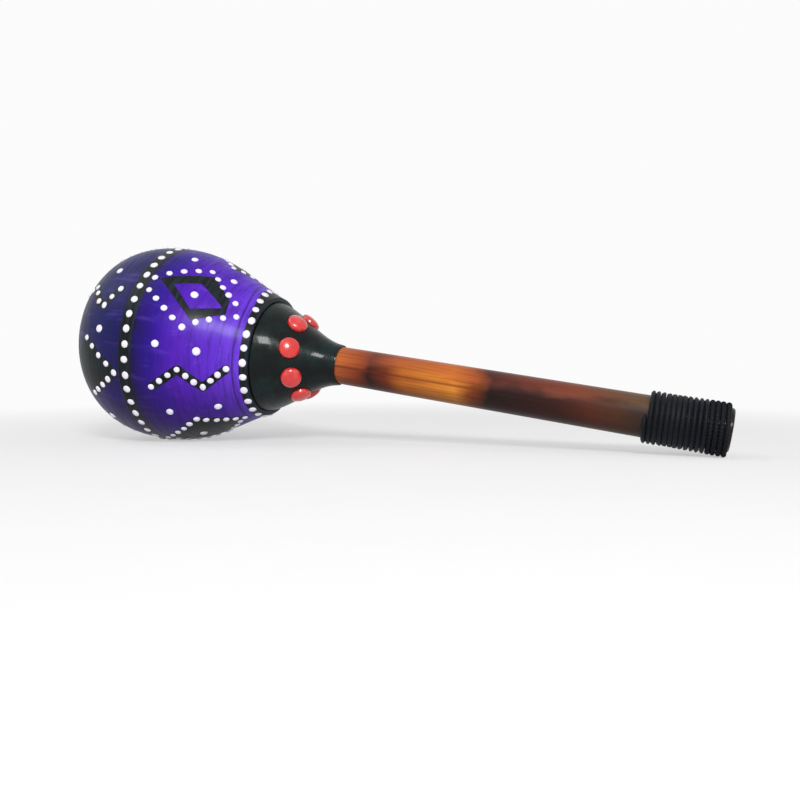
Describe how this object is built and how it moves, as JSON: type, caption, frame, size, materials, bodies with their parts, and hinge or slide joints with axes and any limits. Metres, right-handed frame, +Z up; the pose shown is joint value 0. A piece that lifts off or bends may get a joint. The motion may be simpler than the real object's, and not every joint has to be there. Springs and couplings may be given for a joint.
{
  "type": "gourd maraca",
  "caption": "Hand rattle: a hollow painted gourd head with loose seeds, on a bamboo handle bound with cord at the butt.",
  "frame": {"origin": "centre of the box's bottom face, on the surface that the maraca lies on", "axes": "+X runs from the crown of the head towards the butt of the handle, +Z is up from the surface, +Y completes the set; the handle slopes down 8.7 degrees towards +X"},
  "size_m": [0.2964, 0.0922, 0.0926],
  "materials": {
    "painted_gourd": "violet paint brushed on dried gourd, satin lacquer, black bands and raised white dots",
    "black_lacquer": "gloss black lacquer with a green cast",
    "scorched_bamboo": "flame-darkened bamboo under gloss varnish",
    "waxed_cord": "black waxed twisted cord",
    "red_resin": "glossy coral red domes",
    "dried_seed": "dry brown seeds"
  },
  "bodies": {
    "maraca": {"gourd_shell": "painted_gourd", "neck_cone": "black_lacquer", "bamboo_handle": "scorched_bamboo", "cord_wrap": "waxed_cord", "red_stud_1": "red_resin", "red_stud_2": "red_resin", "red_stud_3": "red_resin", "red_stud_4": "red_resin", "red_stud_5": "red_resin", "red_stud_6": "red_resin", "red_stud_7": "red_resin", "red_stud_8": "red_resin"},
    "seed_01": {"rattle_seed_01": "dried_seed"},
    "seed_02": {"rattle_seed_02": "dried_seed"},
    "seed_03": {"rattle_seed_03": "dried_seed"},
    "seed_04": {"rattle_seed_04": "dried_seed"},
    "seed_05": {"rattle_seed_05": "dried_seed"},
    "seed_06": {"rattle_seed_06": "dried_seed"},
    "seed_07": {"rattle_seed_07": "dried_seed"},
    "seed_08": {"rattle_seed_08": "dried_seed"},
    "seed_09": {"rattle_seed_09": "dried_seed"},
    "seed_10": {"rattle_seed_10": "dried_seed"},
    "seed_11": {"rattle_seed_11": "dried_seed"},
    "seed_12": {"rattle_seed_12": "dried_seed"},
    "seed_13": {"rattle_seed_13": "dried_seed"},
    "seed_14": {"rattle_seed_14": "dried_seed"},
    "seed_15": {"rattle_seed_15": "dried_seed"}
  },
  "joints": [
    {"name": "seed_01_flight", "type": "slide", "parent": "maraca", "child": "seed_01", "axis": [0, 0, 1], "range_m": [0, 0.068]},
    {"name": "seed_02_flight", "type": "slide", "parent": "maraca", "child": "seed_02", "axis": [0, 0, 1], "range_m": [0, 0.075]},
    {"name": "seed_03_flight", "type": "slide", "parent": "maraca", "child": "seed_03", "axis": [0, 0, 1], "range_m": [0, 0.077]},
    {"name": "seed_04_flight", "type": "slide", "parent": "maraca", "child": "seed_04", "axis": [0, 0, 1], "range_m": [0, 0.075]},
    {"name": "seed_05_flight", "type": "slide", "parent": "maraca", "child": "seed_05", "axis": [0, 0, 1], "range_m": [0, 0.068]},
    {"name": "seed_06_flight", "type": "slide", "parent": "maraca", "child": "seed_06", "axis": [0, 0, 1], "range_m": [0, 0.071]},
    {"name": "seed_07_flight", "type": "slide", "parent": "maraca", "child": "seed_07", "axis": [0, 0, 1], "range_m": [0, 0.077]},
    {"name": "seed_08_flight", "type": "slide", "parent": "maraca", "child": "seed_08", "axis": [0, 0, 1], "range_m": [0, 0.079]},
    {"name": "seed_09_flight", "type": "slide", "parent": "maraca", "child": "seed_09", "axis": [0, 0, 1], "range_m": [0, 0.077]},
    {"name": "seed_10_flight", "type": "slide", "parent": "maraca", "child": "seed_10", "axis": [0, 0, 1], "range_m": [0, 0.071]},
    {"name": "seed_11_flight", "type": "slide", "parent": "maraca", "child": "seed_11", "axis": [0, 0, 1], "range_m": [0, 0.07]},
    {"name": "seed_12_flight", "type": "slide", "parent": "maraca", "child": "seed_12", "axis": [0, 0, 1], "range_m": [0, 0.076]},
    {"name": "seed_13_flight", "type": "slide", "parent": "maraca", "child": "seed_13", "axis": [0, 0, 1], "range_m": [0, 0.078]},
    {"name": "seed_14_flight", "type": "slide", "parent": "maraca", "child": "seed_14", "axis": [0, 0, 1], "range_m": [0, 0.076]},
    {"name": "seed_15_flight", "type": "slide", "parent": "maraca", "child": "seed_15", "axis": [0, 0, 1], "range_m": [0, 0.07]}
  ]
}
